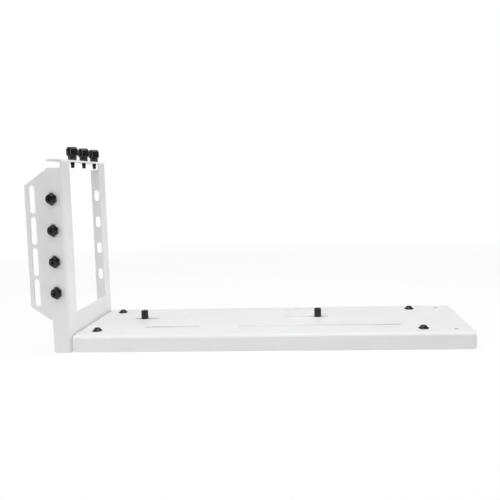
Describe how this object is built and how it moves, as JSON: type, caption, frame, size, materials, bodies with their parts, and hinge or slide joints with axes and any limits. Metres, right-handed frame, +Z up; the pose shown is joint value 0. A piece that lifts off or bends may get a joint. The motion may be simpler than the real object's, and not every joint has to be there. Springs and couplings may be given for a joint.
{
  "type": "vertical gpu bracket",
  "caption": "White folded-steel bracket that stands a graphics card upright: slotted frame with thumbscrews, case adaptor wing and a low base with riser standoffs.",
  "frame": {"origin": "middle of the whole bracket's box, on the floor that it stands on", "axes": "+X along the base away from the slot frame, +Y from the front to the rear, +Z up"},
  "size_m": [0.2836, 0.084, 0.1353],
  "materials": {
    "white_powder_coat": "satin white powder coat",
    "black_zinc": "satin black zinc plating",
    "zinc_steel": "bright zinc plating",
    "insert_brass": "turned brass",
    "black_rubber": "matt rubber"
  },
  "bodies": {
    "bracket": {"io_frame": "white_powder_coat", "base_tray": "white_powder_coat", "base_screw_front_left": "black_zinc", "base_screw_front_right": "black_zinc", "base_screw_rear_left": "black_zinc", "base_screw_rear_right": "black_zinc", "clinch_nut_front": "zinc_steel", "clinch_nut_rear": "zinc_steel", "foot_insert_front": "insert_brass", "foot_insert_rear": "insert_brass", "foot_front": "black_rubber", "foot_rear": "black_rubber"},
    "adaptor": {"case_adaptor": "white_powder_coat", "adaptor_screw_1": "black_zinc", "adaptor_screw_2": "black_zinc", "adaptor_screw_3": "black_zinc", "adaptor_screw_4": "black_zinc"},
    "left_standoff": {"standoff_left": "black_zinc", "standoff_screw_left": "black_zinc", "standoff_washer_left": "black_zinc"},
    "right_standoff": {"standoff_right": "black_zinc", "standoff_screw_right": "black_zinc", "standoff_washer_right": "black_zinc"},
    "front_thumbscrew": {"thumbscrew_front": "black_zinc"},
    "middle_thumbscrew": {"thumbscrew_middle": "black_zinc"},
    "rear_thumbscrew": {"thumbscrew_rear": "black_zinc"}
  },
  "joints": [
    {"name": "adaptor_slide", "type": "slide", "parent": "bracket", "child": "adaptor", "axis": [0, 0, 1], "range_m": [-0.0024, 0.0024]},
    {"name": "left_standoff_slide", "type": "slide", "parent": "bracket", "child": "left_standoff", "axis": [1, 0, 0], "range_m": [-0.0054, 0.0091]},
    {"name": "right_standoff_slide", "type": "slide", "parent": "bracket", "child": "right_standoff", "axis": [1, 0, 0], "range_m": [-0.0222, 0.0063]},
    {"name": "front_thumbscrew_turn", "type": "hinge", "parent": "bracket", "child": "front_thumbscrew", "pos_m": [-0.12175, -0.00607, 0.126], "axis": [0, 0, 1], "continuous": true},
    {"name": "middle_thumbscrew_turn", "type": "hinge", "parent": "bracket", "child": "middle_thumbscrew", "pos_m": [-0.12175, 0.01425, 0.126], "axis": [0, 0, 1], "continuous": true},
    {"name": "rear_thumbscrew_turn", "type": "hinge", "parent": "bracket", "child": "rear_thumbscrew", "pos_m": [-0.12175, 0.03457, 0.126], "axis": [0, 0, 1], "continuous": true}
  ]
}
